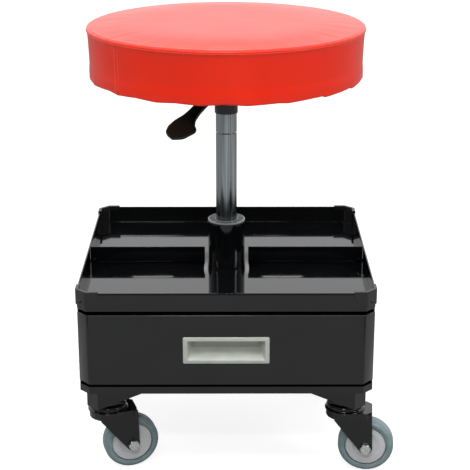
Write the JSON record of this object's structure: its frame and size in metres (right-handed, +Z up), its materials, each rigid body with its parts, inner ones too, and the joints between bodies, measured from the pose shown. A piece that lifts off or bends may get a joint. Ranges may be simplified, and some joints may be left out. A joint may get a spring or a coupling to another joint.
{
  "type": "rolling mechanic's seat",
  "caption": "Round padded seat on a gas lift with release lever, over a divided tool tray and a drawer, on swivel casters.",
  "frame": {"origin": "on the floor under the lift column, at the centre of the base's box", "axes": "+Z up along the column, -Y towards the drawer front, +X to the drawer's right as seen from in front"},
  "size_m": [0.4414, 0.36, 0.573],
  "materials": {
    "seat_vinyl": "satin",
    "seat_board": "matte",
    "black_coat": "gloss",
    "black_plastic": "satin",
    "chrome": "gloss",
    "zinc": "satin",
    "handle_plastic": "satin",
    "bush_plastic": "satin",
    "galvanised": "satin",
    "hub_plastic": "satin",
    "tyre_rubber": "matte"
  },
  "bodies": {
    "base": {"tray": "black_coat", "divider_left": "black_coat", "divider_right": "black_coat", "corner_cap_front_left": "black_plastic", "corner_cap_front_right": "black_plastic", "corner_cap_rear_left": "black_plastic", "corner_cap_rear_right": "black_plastic", "cabinet_shell": "black_coat", "bottom_pan": "black_coat", "column_tube": "black_coat", "guide_bush": "bush_plastic", "runner_left": "galvanised", "runner_right": "galvanised", "corner_bracket_front_left": "black_coat", "corner_bracket_front_right": "black_coat", "corner_bracket_rear_left": "black_coat", "corner_bracket_rear_right": "black_coat", "caster_plate_front_left": "black_coat", "caster_plate_front_right": "black_coat", "caster_plate_rear_left": "black_coat", "caster_plate_rear_right": "black_coat"},
    "spindle": {"piston_rod": "chrome", "thrust_bearing": "zinc", "retaining_clip": "zinc"},
    "seat": {"gas_cylinder": "chrome", "seat_cushion": "seat_vinyl", "seat_board": "seat_board", "mount_plate": "black_coat", "mechanism_housing": "black_coat", "lift_socket": "black_coat", "lever_pin": "zinc", "plate_bolt_1": "zinc", "plate_bolt_2": "zinc", "plate_bolt_3": "zinc", "plate_bolt_4": "zinc"},
    "button": {"release_button": "zinc"},
    "lever": {"lever_arm": "zinc", "lever_handle": "black_plastic"},
    "drawer": {"drawer_box": "black_coat", "drawer_front": "black_coat", "drawer_handle": "handle_plastic", "drawer_rail_left": "galvanised", "drawer_rail_right": "galvanised"},
    "swivel_front_left": {"fork_front_left": "black_coat", "axle_bolt_front_left": "zinc"},
    "swivel_front_right": {"fork_front_right": "black_coat", "axle_bolt_front_right": "zinc"},
    "swivel_rear_left": {"fork_rear_left": "black_coat", "axle_bolt_rear_left": "zinc"},
    "swivel_rear_right": {"fork_rear_right": "black_coat", "axle_bolt_rear_right": "zinc"},
    "wheel_front_left": {"hub_front_left": "hub_plastic", "tyre_front_left": "tyre_rubber"},
    "wheel_front_right": {"hub_front_right": "hub_plastic", "tyre_front_right": "tyre_rubber"},
    "wheel_rear_left": {"hub_rear_left": "hub_plastic", "tyre_rear_left": "tyre_rubber"},
    "wheel_rear_right": {"hub_rear_right": "hub_plastic", "tyre_rear_right": "tyre_rubber"}
  },
  "joints": [
    {"name": "drawer_slide", "type": "slide", "parent": "base", "child": "drawer", "axis": [0, -1, 0], "range_m": [0, 0.11]},
    {"name": "seat_spin", "type": "hinge", "parent": "base", "child": "spindle", "pos_m": [0, 0, 0.12], "axis": [0, 0, 1], "continuous": true},
    {"name": "seat_lift", "type": "slide", "parent": "spindle", "child": "seat", "axis": [0, 0, 1], "range_m": [-0.12, 0]},
    {"name": "lever_lift", "type": "hinge", "parent": "seat", "child": "lever", "pos_m": [-0.01411, -0.01942, 0.4875], "axis": [-0.809, 0.5878, 0], "range_deg": [0, 10], "stiffness_Nm_per_rad": 0.6, "springref_deg": -14.32},
    {"name": "button_press", "type": "slide", "parent": "seat", "child": "button", "axis": [0, 0, 1], "range_m": [-0.005, 0]},
    {"name": "caster_swivel_front_left", "type": "hinge", "parent": "base", "child": "swivel_front_left", "pos_m": [-0.1554, -0.132, 0.09], "axis": [0, 0, 1], "continuous": true},
    {"name": "caster_swivel_front_right", "type": "hinge", "parent": "base", "child": "swivel_front_right", "pos_m": [0.1554, -0.132, 0.09], "axis": [0, 0, 1], "continuous": true},
    {"name": "caster_swivel_rear_left", "type": "hinge", "parent": "base", "child": "swivel_rear_left", "pos_m": [-0.1554, 0.132, 0.09], "axis": [0, 0, 1], "continuous": true},
    {"name": "caster_swivel_rear_right", "type": "hinge", "parent": "base", "child": "swivel_rear_right", "pos_m": [0.1554, 0.132, 0.09], "axis": [0, 0, 1], "continuous": true},
    {"name": "wheel_spin_front_left", "type": "hinge", "parent": "swivel_front_left", "child": "wheel_front_left", "pos_m": [-0.12786, -0.12358, 0.0365], "axis": [-0.2924, 0.9563, 0], "continuous": true},
    {"name": "wheel_spin_front_right", "type": "hinge", "parent": "swivel_front_right", "child": "wheel_front_right", "pos_m": [0.18404, -0.13501, 0.0365], "axis": [0.1045, 0.9945, 0], "continuous": true},
    {"name": "wheel_spin_rear_left", "type": "hinge", "parent": "swivel_rear_left", "child": "wheel_rear_left", "pos_m": [-0.18404, 0.13501, 0.0365], "axis": [-0.1045, -0.9945, 0], "continuous": true},
    {"name": "wheel_spin_rear_right", "type": "hinge", "parent": "swivel_rear_right", "child": "wheel_rear_right", "pos_m": [0.12786, 0.12358, 0.0365], "axis": [0.2924, -0.9563, 0], "continuous": true}
  ],
  "couplings": [
    {"joint": "button_press", "follows": "lever_lift", "m_per_rad": -0.0275}
  ]
}
